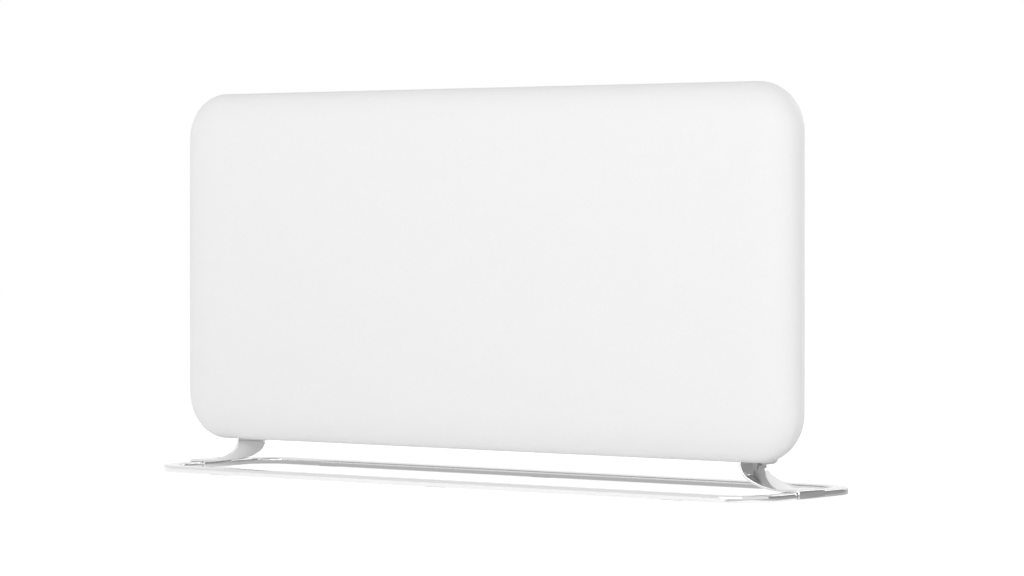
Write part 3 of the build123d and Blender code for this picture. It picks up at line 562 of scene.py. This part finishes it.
# Injection-moulded ABS, spark eroded: charcoal, matt, with a leathery grain about 1 mm across.
moulded_abs = surface("moulded_abs_charcoal", ("333436", "3B3C3E"), (0.5, 0.62), 1.0, 0.02)
dress(eased_copy("control_housing", "control_tray", 0.4), moulded_abs, ["control_housing"])

# Numbers around the knob, 0 for off and 1 to 6, printed in white ink 0.04 mm thick.
knob_place = (340.0, 338.0)
tray_floor = 19.0
dial_radius = 23.4
dial_start = -45.0
dial_step = 45.0
number_size = 4.6
ink_thickness = 0.04


def add_mark(sign, size, place, thickness=0.0):
    """A printed sign in millimetres, centred on a place and read from behind."""
    bpy.ops.object.select_all(action="DESELECT")
    bpy.ops.object.text_add(location=[value * mm for value in place], rotation=(pi / 2, 0.0, pi))
    mark = bpy.context.object
    mark.data.body = sign
    mark.data.size = size * mm
    mark.data.align_x = "CENTER"
    mark.data.align_y = "CENTER"
    mark.data.extrude = thickness / 2 * mm
    bpy.ops.object.convert(target="MESH")
    bpy.ops.object.transform_apply(location=True, rotation=True, scale=True)
    return bpy.context.object


dial_ink = surface("print_ink_white", ("DCDCD8", "E6E6E2"), (0.5, 0.6), 0.4, 0.001)
dial_marks = []
for number in range(7):
    heading = radians(dial_start + dial_step * number)
    place = (knob_place[0] + dial_radius * cos(heading), tray_floor + ink_thickness / 2,
             knob_place[1] + dial_radius * sin(heading))
    dial_marks.append(add_mark(str(number), number_size, place, ink_thickness))
dress(joined("dial_numbers", dial_marks), dial_ink)

# ---------------------------------------------------------------- knob
# The thermostat's knob is moulded in black ABS: a round skirt with a tapered grip bar across it and
# a groove that points to the setting, filled with white paint. It turns on a brass spindle.

# Moulded black ABS with a fine satin grain.
black_abs = surface("moulded_abs_black", ("1E1F20", "26272A"), (0.36, 0.46), 0.8, 0.008)
dress(eased_copy("thermostat_knob", "knob_grip", 0.5), black_abs, ["thermostat_knob"],
      body="knob")

# The white line lies in the grip's groove. At rest it points at the 0, which is down and to the left
# of the knob when seen from behind.
pointer_low = (4.0, 31.95, -0.8)
pointer_high = (16.0, 32.5, 0.8)
pointer_turn = 45.0
pointer = add_block("knob_pointer", pointer_low, pointer_high)
apply_modifier(pointer, "BEVEL", width=0.2 * mm, segments=2, limit_method="ANGLE", angle_limit=radians(50))
work_on(pointer)
pointer.rotation_euler = (0.0, radians(pointer_turn), 0.0)
pointer.location = (knob_place[0] * mm, 0.0, knob_place[1] * mm)
bpy.ops.object.transform_apply(location=True, rotation=True, scale=True)
dress(pointer, dial_ink, body="knob")

# ---------------------------------------------------------------- rocker switches and lamp
# Two snap-in rocker switches choose half and full heat: red rockers in glossy black bodies. The
# amber lamp beside them is lit while the element is on.

# Polished nylon of the switch bodies, glossy black.
switch_nylon = surface("polished_nylon_black", ("18191A", "1F2021"), (0.18, 0.26), 1.0, 0.002)
# Polished polycarbonate of the rockers, signal red.
rocker_red = surface("polished_polycarbonate_red", ("B0221A", "BC2A20"), (0.14, 0.22), 1.0, 0.002)
for number in (1, 2):
    switch = eased_copy(f"heat_switch_{number}", f"switch_body_{number}", 0.25)
    dress(switch, switch_nylon, [f"heat_switch_{number}"])
    cap = eased_copy(f"heat_rocker_{number}", f"rocker_cap_{number}", 0.35)
    dress(cap, rocker_red, [f"heat_rocker_{number}"], body=f"rocker_{number}")

# The marks on the rockers, a stroke for on and a ring for off, are printed white. Each is drawn a
# little behind its cap and laid onto the cap's bent face.
rocker_columns = {1: 292.0, 2: 266.0}
sign_rise = 4.6
sign_size = 4.4
sign_start_y = 30.0
sign_lift = 0.03
for number, rocker_x in rocker_columns.items():
    rocker_marks = [add_mark(sign, sign_size, (rocker_x, sign_start_y, knob_place[1] + rise))
                    for sign, rise in (("I", sign_rise), ("O", -sign_rise))]
    marks = joined(f"rocker_marks_{number}", rocker_marks)
    apply_modifier(marks, "SHRINKWRAP", target=bpy.data.objects[f"rocker_cap_{number}"],
                   wrap_method="PROJECT", use_project_y=True, use_positive_direction=False,
                   use_negative_direction=True, offset=sign_lift * mm)
    dress(marks, dial_ink, body=f"rocker_{number}")

# Clear amber acrylic of the lamp.
amber = surface("amber_acrylic", ("E8841C", "F0922A"), (0.08, 0.14), 1.0, 0.002,
                Transmission_Weight=0.6, IOR=1.49)
dress(eased_copy("pilot_lens", "lamp_lens", 0.3), amber, ["pilot_lens"])

# ---------------------------------------------------------------- inner pieces
# Behind the grilles: the bright duct, the finned element on its ceramic bushes, and the electrical
# pieces. They show only through the slots, so they keep their construction meshes.

# Mill-finish rolled aluminium: bright, with faint roll lines upwards.
rolled_aluminium = surface("rolled_aluminium", ("C4C6C8", "D2D4D6"), (0.25, 0.36), 0.6, 0.002,
                           stretch=(1.0, 1.0, 0.03), Metallic=1.0)
# Extruded aluminium fins, matt from the die.
extruded_aluminium = surface("extruded_aluminium", ("A8AAAC", "B8BABC"), (0.35, 0.5), 0.5, 0.004,
                             stretch=(0.03, 1.0, 1.0), Metallic=1.0)
# Stainless sheath, straw coloured from heat.
heated_sheath = surface("heat_tinted_steel", ("8C8272", "A09684"), (0.3, 0.42), 4.0, 0.002, Metallic=1.0)
# Unglazed steatite, cream and chalky.
steatite = surface("steatite_ceramic", ("DED8C8", "E8E2D4"), (0.6, 0.75), 0.6, 0.015)
# Natural nylon, cream and slightly waxy.
natural_nylon = surface("natural_nylon", ("DEDACC", "E6E2D6"), (0.4, 0.5), 0.8, 0.006,
                        Subsurface_Weight=0.1)
# Turned brass.
turned_brass = surface("turned_brass", ("C09A4C", "CCA65A"), (0.22, 0.32), 0.3, 0.002, Metallic=1.0)
# Black phenolic moulding, dull.
phenolic = surface("phenolic_black", ("1C1A19", "252322"), (0.45, 0.6), 0.7, 0.008)
inner_finishes = {
    "heat_duct": rolled_aluminium,
    "element_fins": extruded_aluminium,
    "element_rod": heated_sheath,
    "element_insulators": steatite,
    "element_brackets": galvanised,
    "thermostat_body": natural_nylon,
    "terminal_block": natural_nylon,
    "tilt_switch_housing": natural_nylon,
    "tilt_switch_pendulum": turned_brass,
    "thermostat_spindle": turned_brass,
    "thermal_cutout": phenolic,
}
for node, material in inner_finishes.items():
    for held in frame["nodes"][node].material_slots:
        held.material = material

# The bush that the mains lead comes through, moulded in matt black nylon.
bush_nylon = surface("moulded_nylon_black", ("1D1D1E", "262627"), (0.5, 0.6), 0.8, 0.01)
dress(eased_copy("cable_gland", "lead_bush", 0.4), bush_nylon, ["cable_gland"])

# ---------------------------------------------------------------- floor, light and camera
# A plain pale floor that runs out of view, soft studio light and the photograph's viewpoint. Places
# and sizes here are in metres; only the camera's lens and sensor are in millimetres.
floor_width = 16.0
floor_glow = 0.5
air_strength = 0.53
backdrop_strength = 1.0
studio_white = linear("FFFFFF")
lamp_aim = (0.0, 0.0, 0.25)


def seen_directly(tree):
    """A value of 1 for rays from the camera, off a shiny surface or through glass, and 0 for others."""
    ray = add_node(tree, "ShaderNodeLightPath")
    seen = add_node(tree, "ShaderNodeMath", {}, {0: (ray, "Is Camera Ray"), 1: (ray, "Is Glossy Ray")},
                    operation="ADD")
    return add_node(tree, "ShaderNodeMath", {}, {0: (seen, "Value"), 1: (ray, "Is Transmission Ray")},
                    operation="ADD", use_clamp=True)


# The floor is matt white, and where it is seen a glow lifts it to the white of the backdrop.
bpy.ops.object.select_all(action="DESELECT")
bpy.ops.mesh.primitive_plane_add(size=floor_width, location=(0.0, 0.0, 0.0))
floor = bpy.context.object
floor.name = "studio_floor"
floor_paint = bpy.data.materials.new("studio_floor_white")
floor_paint.use_nodes = True
tree = floor_paint.node_tree
tree.nodes.clear()
glow = add_node(tree, "ShaderNodeMath", {1: floor_glow}, {0: (seen_directly(tree), "Value")},
                operation="MULTIPLY")
white = add_node(tree, "ShaderNodeEmission", {"Color": studio_white}, {"Strength": (glow, "Value")})
matt = add_node(tree, "ShaderNodeBsdfDiffuse", {"Color": linear("F7F7F7")})
laid = add_node(tree, "ShaderNodeAddShader", {}, {0: (white, "Emission"), 1: (matt, "BSDF")})
add_node(tree, "ShaderNodeOutputMaterial", {}, {"Surface": (laid, "Shader")})
floor.data.materials.append(floor_paint)

# The air lights the heater evenly; where it is seen it is the white backdrop.
world = bpy.data.worlds.new("studio_air")
bpy.context.scene.world = world
world.use_nodes = True
tree = world.node_tree
tree.nodes.clear()
air = add_node(tree, "ShaderNodeBackground", {"Color": studio_white, "Strength": air_strength})
backdrop = add_node(tree, "ShaderNodeBackground", {"Color": studio_white, "Strength": backdrop_strength})
either = add_node(tree, "ShaderNodeMixShader", {}, {
    0: (seen_directly(tree), "Value"), 1: (air, "Background"), 2: (backdrop, "Background")})
add_node(tree, "ShaderNodeOutputWorld", {}, {"Surface": (either, "Shader")})

# Cards beyond the right end and on the floor glow at fixed shades and are seen only in reflections:
# they are painted reflections that give the polished steel darker sides, and the one under and behind the
# heater paints the shade of the floor beneath the panel into the steel. They take no light away. Each has
# its middle, its size, its turn, the shades of its first edge and of the rest, and the share of it that
# fades between them.
for name, middle, size, turn, edge_shade, main_shade, fade in (
        ("upright_card", (2.2, 1.7, 1.7), (3.4, 3.4), (pi / 2, 0.0, -pi / 4), 0.34, 0.34, 1.0),
        ("floor_card_corner", (0.9, -0.2075, 0.0003), (1.0, 0.185), (0.0, 0.0, 0.0), 0.95, 0.74, 1.0),
        ("floor_card_right", (1.75, 1.2175, 0.0003), (2.6, 2.665), (0.0, 0.0, 0.0), 0.74, 0.42, 0.05),
        ("floor_card_under", (0.013, 1.09, 0.0003), (0.874, 2.22), (0.0, 0.0, 0.0), 0.95, 0.6, 0.03)):
    bpy.ops.object.select_all(action="DESELECT")
    bpy.ops.mesh.primitive_plane_add(size=1.0, location=middle, rotation=turn)
    card = bpy.context.object
    card.name = name
    card.scale = (size[0], size[1], 1.0)
    painted_reflection = bpy.data.materials.new(name + "_paper")
    painted_reflection.use_nodes = True
    tree = painted_reflection.node_tree
    tree.nodes.clear()
    place = add_node(tree, "ShaderNodeTexCoord")
    parts = add_node(tree, "ShaderNodeSeparateXYZ", {}, {0: (place, "Object")})
    shade = add_node(tree, "ShaderNodeMapRange", {"From Min": -0.5, "From Max": fade - 0.5,
                                                  "To Min": edge_shade, "To Max": main_shade},
                     {"Value": (parts, "Y")})
    # The card glows at its painted shade: a painted reflection for the steel, not a lamp.
    plain = add_node(tree, "ShaderNodeEmission", {}, {"Strength": (shade, "Result")})
    add_node(tree, "ShaderNodeOutputMaterial", {}, {"Surface": (plain, "Emission")})
    card.data.materials.append(painted_reflection)
    card.visible_camera = False
    card.visible_diffuse = False
    card.visible_transmission = False
    card.visible_shadow = False


def add_lamp(name, place, width, power):
    """A soft square lamp at a place, aimed at the heater."""
    lamp = bpy.data.objects.new(name, bpy.data.lights.new(name, "AREA"))
    bpy.context.scene.collection.objects.link(lamp)
    lamp.data.shape = "SQUARE"
    lamp.data.size = width
    lamp.data.energy = power
    away = [a - b for a, b in zip(place, lamp_aim)]
    flat = (away[0] ** 2 + away[1] ** 2) ** 0.5
    lamp.location = place
    lamp.rotation_euler = (atan2(flat, away[2]), 0.0, atan2(away[0], -away[1]))


add_lamp("front_softbox", (-0.67, -3.80, 1.29), 2.0, 34.8)
add_lamp("front_right_softbox", (1.32, -3.63, 1.29), 2.0, 31.6)
add_lamp("right_softbox", (3.63, 1.32, 1.29), 2.0, 17.0)
add_lamp("back_softbox", (1.73, 3.0, 2.25), 2.5, 38.0)

camera = bpy.data.objects.new("camera", bpy.data.cameras.new("camera"))
bpy.context.scene.collection.objects.link(camera)
camera.location = (2.70415, -3.53162, 0.31493)
camera.rotation_euler = (pi / 2, 0.0, 0.648)
camera.data.sensor_width = 36.0
camera.data.lens = 133.73
camera.data.shift_y = -0.07375
camera.data.clip_end = 50.0
bpy.context.scene.camera = camera
bpy.context.scene.view_settings.view_transform = "Standard"
